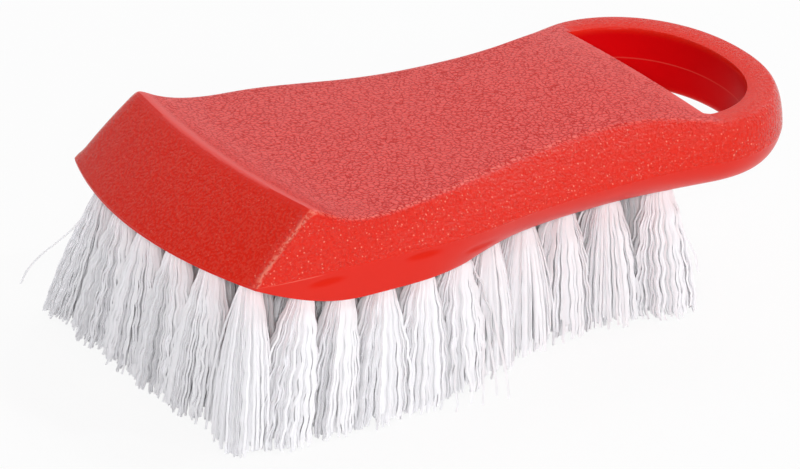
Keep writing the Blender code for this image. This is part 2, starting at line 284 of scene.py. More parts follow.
# Shares of BODY_LENGTH, and the half width there as a share of half of BLOCK_WIDTH
WIDTH_SHARES = {
    "top": (
        (0.122, 0.952), (0.197, 0.960), (0.276, 0.935), (0.354, 0.898), (0.433, 0.829), (0.512, 0.747),
        (0.591, 0.690), (0.669, 0.650), (0.748, 0.630), (0.827, 0.645), (0.906, 0.702), (0.961, 0.770),
        (1.0, LOOP_WIDTHS["top"] / BLOCK_WIDTH),
    ),
    "parting": (
        (0.0, 0.988), (0.04, 0.998), (0.20, 1.003), (0.394, 1.006), (0.472, 0.978), (0.551, 0.928),
        (0.654, 0.881), (0.764, 0.858), (0.858, 0.858), (0.929, 0.877),
        (1.0, LOOP_WIDTHS["parting"] / BLOCK_WIDTH),
    ),
    "under": (
        (0.0, 0.978), (0.04, 0.990), (0.20, 0.995), (0.33, 0.990), (0.378, 0.966), (0.425, 0.925),
        (0.48, 0.850), (0.528, 0.770), (0.567, 0.715), (0.63, 0.655), (0.732, 0.612), (0.80, 0.605),
        (0.88, 0.640), (1.0, LOOP_WIDTHS["under"] / BLOCK_WIDTH),
    ),
}
# Shares of BODY_LENGTH, and the height of the top face there as a share of NOSE_RISE
RISE_SHARES = (
    (0.122, 1.0), (0.157, 0.855), (0.19, 0.738), (0.224, 0.668), (0.268, 0.632), (0.354, 0.632),
    (0.472, 0.627), (0.591, 0.635), (0.709, 0.680), (0.827, 0.712), (0.89, 0.705), (0.945, 0.652),
    (1.0, 0.592),
)
# Shares of BODY_LENGTH, and how round the sides are there, from 0, flat, to 1, a quarter of an ellipse
UPPER_ROUND_SHARES = ((0.0, 0.1), (0.25, 0.12), (0.5, 0.25), (0.7, 0.3), (0.88, 0.5), (1.0, 1.0))
LOWER_ROUND_SHARES = ((0.0, 0.1), (0.36, 0.15), (0.52, 0.6), (0.65, 0.85), (0.9, 0.9), (1.0, 0.7))
# Shares of BODY_LENGTH, between which the underside rises to that of the loop
LOOP_DROP_SHARES = (0.86, 1.0)


# %% Curves through the sizes
def smooth_table(table, at):
    """The value of a table of (place, value) pairs at a place, on a smooth curve through the pairs."""
    if at <= table[0][0]:
        return table[0][1]
    if at >= table[-1][0]:
        return table[-1][1]
    i = max(k for k in range(len(table) - 1) if table[k][0] <= at)

    def slope(k):
        if k in (0, len(table) - 1):
            return 0.0
        return (table[k + 1][1] - table[k - 1][1]) / (table[k + 1][0] - table[k - 1][0])

    (a, low), (b, high) = table[i], table[i + 1]
    span = b - a
    t = (at - a) / span
    return (
        low * (1 + 2 * t) * (1 - t) ** 2
        + slope(i) * span * t * (1 - t) ** 2
        + high * t * t * (3 - 2 * t)
        + slope(i + 1) * span * t * t * (t - 1)
    )


def ease(start, end, at):
    """Rises smoothly from 0 at start to 1 at end."""
    t = min(1.0, max(0.0, (at - start) / (end - start)))
    return t * t * (3 - 2 * t)


def half_width(level, along):
    return smooth_table(WIDTH_SHARES[level], along / BODY_LENGTH) * BLOCK_WIDTH / 2


def base_depth(along):
    """Depth of the underside below the parting line, which curves up towards the nose."""
    rocker = math.sin(math.pi / 2 * min(1.0, along / ROCKER_LENGTH))
    drop = ease(*LOOP_DROP_SHARES, along / BODY_LENGTH)
    return NOSE_LIP + (BASE_DEPTH - NOSE_LIP) * rocker - (BASE_DEPTH - LOOP_DEPTH) * drop


waist = min(half_width("top", BODY_LENGTH * share) for share, _ in WIDTH_SHARES["top"])
print("width of the top face at the waist:", round(2 * waist / MM, 1), "mm")

# %% [markdown]
# ## One ring of the block
#
# A ring has columns, which are counted across the block from its middle, and levels, which are counted up its
# side from the underside to the top face. Near the loop, the columns line up with the hole, so that the hole
# can be left open in the mesh and needs no cut. Two of the levels lie close together at the parting line:
# near the nose the band below it stands out a little, as where the two halves of a mould don't quite meet.

# %% Places on a ring
HOLE_COLUMNS = 7  # from the middle to the edge of the hole
RIM_COLUMNS = 2  # from there to the block's side
COLUMNS = HOLE_COLUMNS + RIM_COLUMNS
LOWER_SHARES = (0.0, 0.25, 0.5, 0.75, 0.97)  # from the underside to the parting line
UPPER_SHARES = (0.0, 0.12, 0.3, 0.5, 0.7, 0.87, 1.0)  # from the parting line to the top face
TOP_LEVEL = len(LOWER_SHARES) + len(UPPER_SHARES) - 1
WALL_SHARES = (0.0, 0.1, 0.3, 0.47, 0.49, 0.51, 0.53, 0.7, 0.9, 1.0)  # up the wall of the hole
BAND_STEP = 0.05 * MM  # how far the band below the parting line stands out
BAND_STEP_FADE = (24 * MM, 45 * MM)
FLASH_FADE = (12 * MM, 30 * MM)
HOLE_DRAFT = 0.55 * MM  # the hole is this much narrower at its parting line
RIM_DROP = 0.5 * MM  # rounds the upper rim of the hole
FIT_FROM = 70 * MM  # from here to the hole, the columns move over to those of the loop
OVAL_POWER = 2.12  # a little squarer than an ellipse


def corner(angle):
    """The sine and cosine of an angle, stretched so that they run round a slightly squared oval."""
    s, c = math.sin(angle), math.cos(angle)
    power = 2 / OVAL_POWER
    return abs(s) ** power, math.copysign(abs(c) ** power, c)


def bent(t, roundness):
    """How far across and along a side is at its share t, from straight to a quarter circle."""
    across = t + (math.sin(t * math.pi / 2) - t) * roundness
    along = t + (1 - math.cos(t * math.pi / 2) - t) * roundness
    return across, along


class Ring:
    """The outline of the block at one place along it."""

    def __init__(self, outline, rise, depth, along):
        self.outline = outline
        self.rise, self.depth, self.along = rise, depth, along
        self.upper_round = smooth_table(UPPER_ROUND_SHARES, along / BODY_LENGTH)
        self.lower_round = smooth_table(LOWER_ROUND_SHARES, along / BODY_LENGTH)
        self.bow = [bow * max(0.0, 1 - along / BOW_FADE) for bow in (NOSE_BOW_LOW, NOSE_BOW_TOP)]
        self.fit = ease(FIT_FROM, HOLE_WALL_AT, along)

    def level(self, level):
        """Place in plan, height, and share of the height for one level of the side."""
        under, parting, top = (Vector(self.outline[name]) for name in ("under", "parting", "top"))
        if level < len(LOWER_SHARES):
            out, up = bent(LOWER_SHARES[level], self.lower_round)
            place = under.lerp(parting, out)
            place.y += math.copysign(BAND_STEP * (1 - ease(*BAND_STEP_FADE, self.along)), place.y)
            return place, -self.depth * (1 - up), 0.0
        up, inwards = bent(UPPER_SHARES[level - len(LOWER_SHARES)], self.upper_round)
        return parting.lerp(top, inwards), self.rise * up, up

    def point(self, column, level):
        place, height, share = self.level(level)
        side = math.copysign(1, column)
        even = place.y * column / COLUMNS
        hole_edge = HOLE_WIDTH / 2
        if abs(column) <= HOLE_COLUMNS:
            fitted = hole_edge * column / HOLE_COLUMNS
        else:
            fitted = side * (hole_edge + (place.y - hole_edge) * (abs(column) - HOLE_COLUMNS) / RIM_COLUMNS)
        y = even + (fitted - even) * self.fit
        bulge = 1 - (y / place.y) ** 2
        bow = self.bow[0] + (self.bow[1] - self.bow[0]) * share
        if level == TOP_LEVEL:
            height += CROWN * bulge * ease(0, CROWN_LENGTH, self.along)
        return Vector((place.x - bow * bulge, y, height))

    def wall(self, column, share):
        """A point on the wall of the hole, which leans in from its lower and upper edge to its middle."""
        low, high = self.point(column, 0), self.point(column, TOP_LEVEL)
        lean = self.into_hole(low) * HOLE_DRAFT / 2 * (1 - abs(2 * share - 1))
        return low.lerp(high, share) + lean

    def into_hole(self, place):
        return Vector((1, 0, 0))


def body_ring(share):
    """A ring of the body. The upper rings start further back than the lower ones, because the nose slopes."""
    along = share * HOLE_WALL_AT
    top_at = NOSE_SLOPE + share * (HOLE_WALL_AT - NOSE_SLOPE)
    outline = {
        "top": (top_at, half_width("top", top_at)),
        "parting": (along, half_width("parting", along)),
        "under": (along, half_width("under", along)),
    }
    rise = smooth_table(RISE_SHARES, top_at / BODY_LENGTH) * NOSE_RISE
    return Ring(outline, rise, base_depth(along), along)


class LoopRing(Ring):
    """A ring of the loop, which is a bar between the block's outer ovals and the oval of the hole."""

    def __init__(self, angle):
        s, c = corner(angle)
        outline = {
            name: (BODY_LENGTH + LOOP_REACHES[name] * s, LOOP_WIDTHS[name] / 2 * c) for name in LOOP_WIDTHS
        }
        start = RISE_SHARES[-1][1] * NOSE_RISE
        super().__init__(outline, start + (LOOP_END_RISE - start) * s, LOOP_DEPTH, BODY_LENGTH)
        self.hole = Vector((HOLE_CENTRE_AT + HOLE_REACH * s, HOLE_WIDTH / 2 * c))

    def point(self, column, level):
        place, height, _ = self.level(level)
        share = (abs(column) - HOLE_COLUMNS) / RIM_COLUMNS
        place = self.hole.lerp(place, share)
        if level == TOP_LEVEL:
            height += CROWN * (1 - share) * (1 - (HOLE_WIDTH / LOOP_WIDTHS["top"]) ** 2)
            if share == 0:
                height -= RIM_DROP
        return Vector((place.x, place.y, height))

    def into_hole(self, place):
        return (Vector((HOLE_CENTRE_AT, 0, place.z)) - place).normalized()


print("a ring has", 2 * (2 * COLUMNS + TOP_LEVEL), "points")

# %% [markdown]
# ## Lofting the block
#
# The nose is a grid, because it is a flat face. Its rim is then pulled along the block, ring by ring, with
# bmesh's extrude_edge_only. At the hole the rim splits: the middle part is closed by the hole's straight
# wall, and the part on one side is pulled round the loop, until it meets the part on the other side.

# %% Loft
BODY_STEPS = 40
BODY_STEP_POWER = 1.15  # above 1, the rings stand closer together near the nose
LOOP_STEPS = 28


def pull_edges(bm, edges, roles, place_of):
    """Extrude a row of edges. Each new point keeps the role of the point it came from."""
    old = {vert for edge in edges for vert in edge.verts}
    grown = bmesh.ops.extrude_edge_only(bm, edges=list(edges))["geom"]
    fresh = {item for item in grown if isinstance(item, bmesh.types.BMVert)}
    for vert in fresh:
        source = next(e.other_vert(vert) for e in vert.link_edges if e.other_vert(vert) in old)
        roles[vert] = roles[source]
    for vert in fresh:
        vert.co = place_of(roles[vert])
    return [e for e in grown if isinstance(e, bmesh.types.BMEdge) and all(v in fresh for v in e.verts)]


def loft_body(bm, roles):
    ring = body_ring(0)
    bmesh.ops.create_grid(bm, x_segments=2 * COLUMNS, y_segments=TOP_LEVEL, size=1)
    for vert in bm.verts:
        roles[vert] = (round(vert.co.x * COLUMNS), round((vert.co.y + 1) / 2 * TOP_LEVEL))
    for vert in bm.verts:
        vert.co = ring.point(*roles[vert])
    edges = [edge for edge in bm.edges if edge.is_boundary]
    for step in range(1, BODY_STEPS + 1):
        ring = body_ring((step / BODY_STEPS) ** BODY_STEP_POWER)
        edges = pull_edges(bm, edges, roles, lambda role: ring.point(*role))
    return ring, edges


def close_hole_wall(bm, roles, ring, edges):
    """Pull the lower edge of the body's end up to its upper edge, between the two sides of the hole."""
    row = [e for e in edges if all(roles[v][1] == 0 and abs(roles[v][0]) <= HOLE_COLUMNS for v in e.verts)]

    def corner_of(row):
        return next(v for e in row for v in e.verts if roles[v][0] == HOLE_COLUMNS)

    posts = [corner_of(row)]
    for share in WALL_SHARES[1:]:
        row = pull_edges(bm, row, roles, lambda role: ring.wall(role[0], share))
        posts.append(corner_of(row))
    for vert, share in zip(posts[1:-1], WALL_SHARES[1:-1]):
        roles[vert] = ("wall", share)
    roles[posts[-1]] = (HOLE_COLUMNS, TOP_LEVEL)
    return [bm.edges.get(pair) for pair in zip(posts, posts[1:])]


def place_on(ring, role, side):
    column, level = role
    if column == "wall":
        return ring.wall(side * HOLE_COLUMNS, level)
    return ring.point(side * column, level)


def loft_loop(bm, roles, start_ring, edges, uprights):
    """Pull one side of the body's end round the hole until it lies on the other side."""
    bar = [e for e in edges if all(roles[v][0] >= HOLE_COLUMNS for v in e.verts)] + uprights
    for step in range(LOOP_STEPS + 1):
        ring = LoopRing(math.pi * step / LOOP_STEPS)
        bar = pull_edges(bm, bar, roles, lambda role: place_on(ring, role, 1))
    pull_edges(bm, bar, roles, lambda role: place_on(start_ring, role, -1))


# %% [markdown]
# ## Marks on the cage
#
# Each point of the cage gets a few marks from 0 to 1, which say how leathery, pebbled or dull the surface is
# there, where a painted highlight runs along an edge, and whether it lies in the hole or on the flash, the
# thin line of plastic that creeps between the halves of a mould. Subdivision blends the marks, so one finish
# runs into the next, and the material reads them. Each edge gets a crease, from 0, a soft round, to 1, a
# sharp edge.

# %% Marks and creases
MARKS = ("leather", "fine_grain", "sunk", "in_hole", "flash", "dull", "worn")
HOLE_WALL_HALF = 6.5 * MM  # what lies closer than this to the parting line is on the hole's wall, not its rim
HOLE_FLASH = 0.83
HOLE_FLASH_SHARES = (0.48, 0.52)  # between these, up the wall of the hole
# the painted highlight along the nose's corners reaches this far behind the nose
HIGHLIT_EDGE_REACH = 0.5 * MM  # behind the nose
FINE_GRAIN_ON_RIM = 0.3
# Behind the ridge of the nose the top face is a little dull, and duller in a band
RIDGE_DULL, RIDGE_FADE = 0.3, (3 * MM, 8 * MM)
BAND_DULL, BAND_RISE, BAND_FADE = 0.5, (0.5 * MM, 2.5 * MM), (5 * MM, 12 * MM)
LEATHER_RISE = (0.5 * MM, 4 * MM)

HOLE_EDGE_CREASE = 0.85
HOLE_RIM_CREASE = 0.38
LOW_EDGE_CREASE = 0.6
NOSE_EDGE_CREASE = 0.75
NOSE_CORNER_CREASE = 0.0
NOSE_RIDGE_CREASE = 0.7
SHOULDER_CREASE = 0.15
SOFT_ANGLE, CRISP_ANGLE = math.radians(30), math.radians(62)  # no crease below the one, all above the other


def dull_behind_ridge(behind):
    at_ridge = RIDGE_DULL * (1 - ease(*RIDGE_FADE, behind))
    return at_ridge + BAND_DULL * ease(*BAND_RISE, behind) * (1 - ease(*BAND_FADE, behind))


def mark_finish(bm, roles):
    """The top face is leathery, the nose and the sides are pebbled, and the rest is smooth."""
    leather, fine, sunk, in_hole, flash, dull, worn = (bm.verts.layers.float[mark] for mark in MARKS)
    nose = body_ring(0)
    for vert in bm.verts:
        column, level = roles[vert]
        x, y, z = vert.co
        ridge = NOSE_SLOPE - NOSE_BOW_TOP * (1 - (y / half_width("top", 0)) ** 2)
        if column != "wall" and level < TOP_LEVEL:
            vert[dull] = float(abs(column) < COLUMNS and level > 0)
        elif level == TOP_LEVEL and x < HOLE_WALL_AT + MM:
            vert[dull] = dull_behind_ridge(x - ridge)
        else:
            vert[dull] = 1.0
        # The flash line, which the material paints paler: real flash with a painted highlight
        if level == len(LOWER_SHARES) - 1:
            vert[flash] = 1 - ease(*FLASH_FADE, x)
        elif column == "wall" and HOLE_FLASH_SHARES[0] < level < HOLE_FLASH_SHARES[1]:
            vert[flash] = HOLE_FLASH
        # A painted highlight runs along the corners of the nose and the side edges of the top face.
        if column in (-COLUMNS, COLUMNS) and x < HOLE_WALL_AT and level >= len(LOWER_SHARES) - 1:
            vert[worn] = float(level == TOP_LEVEL or x - nose.point(column, level).x < HIGHLIT_EDGE_REACH)
        on_straight_wall = abs(x - HOLE_WALL_AT) < MM and abs(z) < HOLE_WALL_HALF and abs(y) < HOLE_WIDTH / 2
        if column == "wall" or on_straight_wall:
            vert[in_hole] = 1.0
        elif level >= len(LOWER_SHARES):
            on_top = level == TOP_LEVEL and x < HOLE_WALL_AT + MM
            vert[leather] = ease(*LEATHER_RISE, x - ridge) if on_top else 0.0
            on_rim = level == TOP_LEVEL and abs(column) == HOLE_COLUMNS
            vert[fine] = 0.0 if on_top else FINE_GRAIN_ON_RIM if on_rim else 1.0


def loop_crease(edge, middle, in_hole):
    """Round the loop, only the upper rim of the hole has a crease."""
    walls = sum(any(vert[in_hole] for vert in face.verts) for face in edge.link_faces)
    on_rim = walls == 1 and middle.z > 0 and not any(vert[in_hole] for vert in edge.verts)
    return HOLE_RIM_CREASE if on_rim else 0.0


def body_crease(edge, middle):
    run = (edge.verts[1].co - edge.verts[0].co).normalized()
    above = middle.z > MM
    lengthwise = abs(run.y) < 0.5
    if above and lengthwise and middle.x < NOSE_SLOPE:
        return NOSE_CORNER_CREASE
    if above and lengthwise and middle.x < HOLE_WALL_AT - MM:
        return SHOULDER_CREASE
    if above and middle.x < NOSE_SLOPE + MM:
        return NOSE_RIDGE_CREASE
    if middle.z < -LOOP_DEPTH / 2:
        return LOW_EDGE_CREASE
    return HOLE_EDGE_CREASE if middle.x > HOLE_WALL_AT - MM else NOSE_EDGE_CREASE


def crease_edges(bm):
    """A crease grows with the angle between the two faces, so a crisp edge fades out along its length."""
    crease = bm.edges.layers.float["crease_edge"]
    in_hole = bm.verts.layers.float["in_hole"]
    for edge in bm.edges:
        middle = (edge.verts[0].co + edge.verts[1].co) / 2
        if middle.x > HOLE_WALL_AT + MM:
            edge[crease] = loop_crease(edge, middle, in_hole)
        else:
            crisp = ease(SOFT_ANGLE, CRISP_ANGLE, edge.calc_face_angle(0.0))
            edge[crease] = body_crease(edge, middle) * crisp


def block_cage():
    bm = bmesh.new()
    for mark in MARKS:
        bm.verts.layers.float.new(mark)
    bm.edges.layers.float.new("crease_edge")
    roles = {}
    ring, edges = loft_body(bm, roles)
    uprights = close_hole_wall(bm, roles, ring, edges)
    loft_loop(bm, roles, ring, edges, uprights)
    mark_finish(bm, roles)
    bmesh.ops.remove_doubles(bm, verts=bm.verts, dist=MM / 1000)
    bmesh.ops.recalc_face_normals(bm, faces=bm.faces)
    crease_edges(bm)
    open_edges = sum(edge.is_boundary for edge in bm.edges)
    print("cage:", len(bm.verts), "points,", len(bm.faces), "faces, open edges:", open_edges)
    return bm


cage = block_cage()

# %% [markdown]
# ## From cage to block
#
# A Subdivision Surface turns the cage into a smooth skin. An edge with a crease keeps a small radius, as the
# nose's edges do, and an edge without one turns into a soft round, as the outside of the loop does. Then the
# block is moved to where the frame has it. Thick mouldings shrink as they cool, so the smooth band on each
# side gets the shallow dents, called sink marks, that show in the photograph.

# %% Skin, place and sink marks
SKIN_LEVELS = 2
PLACE = Vector((BLOCK_HIGH.x - BODY_LENGTH - LOOP_REACHES["parting"], 0, BLOCK_LOW.z + BASE_DEPTH))
SINKS = ((17.3, -2.4), (42.0, -1.8), (58.0, -4.6))  # millimetres along the block, and above the parting line
SINK_LENGTH = 5.6 * MM
SINK_HEIGHT = 1.15 * MM
SINK_DEPTH = 0.16 * MM


def apply_modifiers(piece):
    mesh = bpy.data.meshes.new_from_object(piece.evaluated_get(bpy.context.evaluated_depsgraph_get()))
    piece.modifiers.clear()
    piece.data = mesh


def press_sinks(mesh):
    sunk = mesh.attributes["sunk"].data
    for vert in mesh.vertices:
        x, y, z = vert.co
        for along, up in SINKS:
            distance = ((x - along * MM) / SINK_LENGTH) ** 2 + ((z - up * MM) / SINK_HEIGHT) ** 2
            share = math.exp(-2 * distance**2) * (abs(y) > BLOCK_WIDTH / 4)
            vert.co.y -= math.copysign(SINK_DEPTH * share, y)
            sunk[vert.index].value += share


def skin_block(cage, material):
    block = add_piece("brush_block", cage, material, "block_plastic")
    skin = block.modifiers.new("skin", "SUBSURF")
    skin.levels = skin.render_levels = SKIN_LEVELS
    apply_modifiers(block)
    press_sinks(block.data)
    block.data.transform(Matrix.Translation(PLACE))
    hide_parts("block_handle")
    print("block:", len(block.data.polygons), "faces")
    return block


# %% [markdown]
# ## The red plastic
#
# The block is polypropylene coloured all through, so its colour hardly varies, and its finish does the work.
# The mould was etched: a leather grain on the top face, a fine pebble grain on the nose and the sides, and no
# grain below the parting line or in the hole. The leather is a Voronoi pattern, whose cell edges become the
# creases. Noise moves them about so that they wander, and breaks them here and there, as in real leather. The
# pebbles are plain noise, which goes up and down by the same amount, so that the pebbled side doesn't stand
# out from the smooth band below it. The nose is duller and less pebbled than the sides.
#
# Light and shade are painted into the colour as well. Painted highlights make it paler on the raised grain,
# in small dots where the grain would glint, along the corners of the nose and the edges of the top face, and
# on the flash along the parting line by the nose and round the hole, which is real flash with a painted
# highlight.
# Painted shade makes it a darker red in the leather's creases, and a deeper red in the hole, standing in for
# the light that bounces from red to red there.

# %% Red plastic
RED = (0.78, 0.018, 0.006, 1)
# painted shade: the leather's creases are painted a darker red
RED_SHADED_IN_CREASES = (0.54, 0.006, 0.003, 1)
# painted shade: the hole is painted a deeper red, for light that bounces from red to red there
RED_SHADED_IN_HOLE = (0.68, 0.002, 0.004, 1)
# real flash, painted paler: a painted highlight for the light its edge catches
RED_FLASH_HIGHLIGHT = (0.85, 0.14, 0.10, 1)
# painted highlight colour, for glint dots, edges and raised grain
RED_PAINTED_HIGHLIGHT = (0.95, 0.25, 0.17, 1)
# painted highlight along the corners of the nose, and along the edges of the leathery top face
EDGE_HIGHLIGHT_SHARES = (0.8, 0.3)  # how pale the corners of the nose are, and the edges of the leather
# painted highlight on the raised grain, on the sides and on the nose
GRAIN_HIGHLIGHT_SHARES = (0.05, 0.1)  # how pale the raised grain is, on the sides and on the nose
# Painted highlights: small pale dots where the grain would glint. A nib below is one such dot.
GLINT_SPACING = 0.85 * MM
GLINT_SHARE = 0.33  # of the spacing, from the middle of a nib to where it ends
GLINTS_FROM = 0.3  # the share of the places that have no nib
LEATHER_CELL = 1.15 * MM
CREASE_WIDTH_SHARE = 0.2
WANDER = 1.0 * MM
WANDER_SIZE = 1.3 * MM
BREAK_SIZE = 0.8 * LEATHER_CELL
BREAKS = (0.34, 0.46)  # where a noise is below the one the creases are faint, above the other they are whole
CREASE_KEPT_AT_BREAK = 0.45
LEATHER_DEPTH = 0.08 * MM
PEBBLE_SIZE = 0.7 * MM
PEBBLE_DEPTH = 0.6 * MM
# The pebbles' height goes from -0.5 to 0.5. The painted highlight of an edge or of the raised grain grows
# between these
PALE_EDGE_PEBBLES = (-0.12, 0.06)
PALE_GRAIN_PEBBLES = (-0.08, 0.12)
EDGE_KEPT_BETWEEN_PEBBLES = 0.2
# Between these values of a mark, its effect grows from nothing to all
GLINT_MARKS, HIGHLIT_EDGE_MARKS, FLASH_MARKS = (0.5, 1.0), (0.6, 1.0), (0.75, 0.95)
FLASH_HIGHLIGHT_SHARE = 0.8
GLOSS = {"smooth": 0.26, "pebbled": 0.19, "leather": 0.4}
GLOSS_KEPT_IN_DENTS = 0.2
GLOSS_KEPT_IF_DULL = 0.3
PEBBLES_KEPT_IF_DULL = 0.5
GLINTS_KEPT_IF_DULL = 0.3
ROUGHNESS = {"smooth": 0.34, "pebbled": 0.16, "leather": 0.38}


def map_range(tree, value, low, high, to_low=0.0, to_high=1.0, kind="SMOOTHSTEP"):
    sockets = {"Value": value, "From Min": low, "From Max": high, "To Min": to_low, "To Max": to_high}
    return add_node(tree, "MapRange", sockets, interpolation_type=kind).outputs[0]


def noise(tree, where, size, detail=1.0):
    return add_node(tree, "TexNoise", {"Vector": where, "Scale": 1 / size, "Detail": detail})


def leather_creases(tree, where):
    """1 along the bottom of a crease, 0 on the leather between the creases."""
    moved = add_node(
        tree,
        "VectorMath",
        {0: noise(tree, where, WANDER_SIZE).outputs["Color"], 1: (WANDER,) * 3, 2: where},
        operation="MULTIPLY_ADD",
    )
    cells = add_node(
        tree,
        "TexVoronoi",
        {"Vector": moved.outputs[0], "Scale": 1 / LEATHER_CELL, "Randomness": 1.0},
        feature="DISTANCE_TO_EDGE",
    )
    crease = map_range(tree, cells.outputs["Distance"], 0.0, CREASE_WIDTH_SHARE, 1.0, 0.0)
    breaks = noise(tree, where, BREAK_SIZE).outputs[0]
    kept = map_range(tree, breaks, *BREAKS, CREASE_KEPT_AT_BREAK, 1.0)
    return times(tree, crease, kept)


def glint_dots(tree, where):
    """Painted highlight: 1 in a small glint dot, 0 between the dots. Only some of the pattern's cells have
    one.
    """
    cells = add_node(tree, "TexVoronoi", {"Vector": where, "Scale": 1 / GLINT_SPACING, "Randomness": 1.0})
    glint = map_range(tree, cells.outputs["Distance"], GLINT_SHARE / 3, GLINT_SHARE, 1.0, 0.0)
    chance = add_node(tree, "SeparateColor", {"Color": cells.outputs["Color"]}).outputs["Red"]
    return times(tree, glint, map_range(tree, chance, GLINTS_FROM, 1.0))


def by_finish(tree, values, leather, pebbled):
    """The value for a smooth, a pebbled or a leathery place."""
    plain = map_range(tree, pebbled, 0, 1, values["smooth"], values["pebbled"], "LINEAR")
    more = times(tree, leather, values["leather"] - values["smooth"])
    return math_node(tree, "ADD", plain, more)


def grain_bump(tree, creases, pebbles):
    height = math_node(tree, "ADD", times(tree, creases, -LEATHER_DEPTH), pebbles)
    return add_node(tree, "Bump", {"Height": height, "Distance": 1.0, "Strength": 1.0}).outputs[0]


def painted_highlights(tree, where, pebble, creases, leather, pebbled, dull, worn):
    """Painted highlights: glint dots, the edge highlight and the raised grain's highlight, whichever is
    palest.
    """
    kept = map_range(tree, dull, 0, 1, 1, GLINTS_KEPT_IF_DULL)
    # painted glint dots on the pebbled faces
    glint = times(tree, glint_dots(tree, where), map_range(tree, pebbled, *GLINT_MARKS), kept)
    # painted highlight along the corners of the nose and the edges of the top face
    edge = times(
        tree,
        map_range(tree, worn, *HIGHLIT_EDGE_MARKS),
        map_range(tree, pebble, *PALE_EDGE_PEBBLES, EDGE_KEPT_BETWEEN_PEBBLES, 1.0),
        map_range(tree, leather, 0, 1, *EDGE_HIGHLIGHT_SHARES),
        map_range(tree, creases, 0, 1, 1, 0),
    )
    # painted highlight on the raised grain
    shares = map_range(tree, dull, 0, 1, *GRAIN_HIGHLIGHT_SHARES)
    grain_highlight = times(tree, pebbled, shares, map_range(tree, pebble, *PALE_GRAIN_PEBBLES))
    return math_node(tree, "MAXIMUM", math_node(tree, "MAXIMUM", glint, edge), grain_highlight)


def make_red_plastic():
    material, tree, shader = new_material("red_plastic")
    where = add_node(tree, "TexCoord").outputs["Object"]
    leather, pebbled, sunk, in_hole, flash, dull, worn = (
        add_node(tree, "Attribute", attribute_name=mark).outputs["Fac"] for mark in MARKS
    )
    creases = times(tree, leather_creases(tree, where), leather)
    pebble = math_node(tree, "SUBTRACT", noise(tree, where, PEBBLE_SIZE).outputs[0], 0.5)
    pebble_depth = map_range(tree, dull, 0, 1, PEBBLE_DEPTH, PEBBLE_DEPTH * PEBBLES_KEPT_IF_DULL)
    pebbles = times(tree, pebbled, pebble_depth, pebble)

    # painted highlight along the flash by the nose and round the hole
    line = map_range(tree, flash, *FLASH_MARKS, 0.0, FLASH_HIGHLIGHT_SHARE)
    pale = painted_highlights(tree, where, pebble, creases, leather, pebbled, dull, worn)
    # painted shade: a darker red in the leather's creases
    colour = mix_colours(tree, creases, RED, RED_SHADED_IN_CREASES)
    # painted shade: a deeper red in the hole
    colour = mix_colours(tree, in_hole, colour, RED_SHADED_IN_HOLE)
    colour = mix_colours(tree, line, colour, RED_FLASH_HIGHLIGHT)
    # painted highlights make the red paler
    colour = mix_colours(tree, pale, colour, RED_PAINTED_HIGHLIGHT)

    dents = math_node(tree, "MAXIMUM", creases, sunk)
    kept_in_dents = map_range(tree, math_node(tree, "MAXIMUM", dents, in_hole), 0, 1, 1, GLOSS_KEPT_IN_DENTS)
    kept_if_dull = map_range(tree, dull, 0, 1, 1, GLOSS_KEPT_IF_DULL)
    gloss = times(tree, by_finish(tree, GLOSS, leather, pebbled), kept_in_dents, kept_if_dull)
    tree.links.new(by_finish(tree, ROUGHNESS, leather, pebbled), shader.inputs["Roughness"])
    tree.links.new(colour, shader.inputs["Base Color"])
    tree.links.new(gloss, shader.inputs["Specular IOR Level"])
    tree.links.new(grain_bump(tree, creases, pebbles), shader.inputs["Normal"])
    return material


block = skin_block(cage, make_red_plastic())

# %% [markdown]
# ## Where the tufts stand
#
# The frame has one node for every tuft: a round plug in a hole, and seven thick strands below it. The middle
# of the plug's upper end and the middle of the tips give the line that the tuft follows, and the width of
# the tips says how far it may spread before it meets the next one. In the photograph the tips don't stand
# straight below the roots: the nose row leans to the far side and the other rows lean towards the nose, so
# each tuft's tip is moved by a few millimetres.

# %% Tufts
PLUG_LENGTH = 5.6 * MM
PLUG_END = 1.5 * MM  # what lies this close below a node's highest point is the upper end of its plug
TIP_HEIGHT = 0.05 * MM  # what lies this close to the floor is a tip
TUFT_RADIUS = 2.5 * MM
NOSE_ROW_LEAN = (-1 * MM, 5 * MM)  # along and across the brush
OTHER_ROWS_LEAN = -5.8 * MM
LEAN_LOST_BY_ROW = 0.35 * MM


class Tuft:
    """One tuft of the frame: the line it follows, and how far its tips spread."""

    def __init__(self, name):
        self.name = name
        points = [vert.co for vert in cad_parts[name].data.vertices]
        highest = max(point.z for point in points)
        upper = [point for point in points if point.z > highest - PLUG_END]
        tips = [point for point in points if point.z < TIP_HEIGHT]
        self.top = sum(upper, Vector()) / len(upper)
        self.tip = sum(tips, Vector()) / len(tips)
        self.axis = (self.tip - self.top).normalized()
        self.root = self.top + self.axis * PLUG_LENGTH
        self.reach = [max(point[i] for point in tips) - self.tip[i] for i in (0, 1)]
        self.row, self.column = (int(number) for number in name.split("_")[1:])
        self.tip += self.lean()
        self.length = (self.tip - self.root).length

    def lean(self):
        """Use has combed the tips: those of the nose row to the far side, and the rest to the nose."""
        if self.row > 1:
            return Vector((OTHER_ROWS_LEAN + LEAN_LOST_BY_ROW * (self.row - 2), 0, 0))
        along, across = NOSE_ROW_LEAN
        return Vector((along, across if self.column > 1 else 0, 0))

    def open_side(self):
        """The directions, along and across the brush, in which no other tuft stands."""
        columns = [tuft.column for tuft in tufts if tuft.row == self.row]
        across = -1 if self.column == 1 else 1 if self.column == max(columns) else 0
        along = -1 if self.row == 1 else 1 if self.row == tufts[-1].row else 0
        return along, across


tufts = [Tuft(name) for name in TUFT_NODES]
lengths = sorted(round(tuft.length / MM, 1) for tuft in tufts)
print("bristle is", lengths[0], "to", lengths[-1], "mm long")

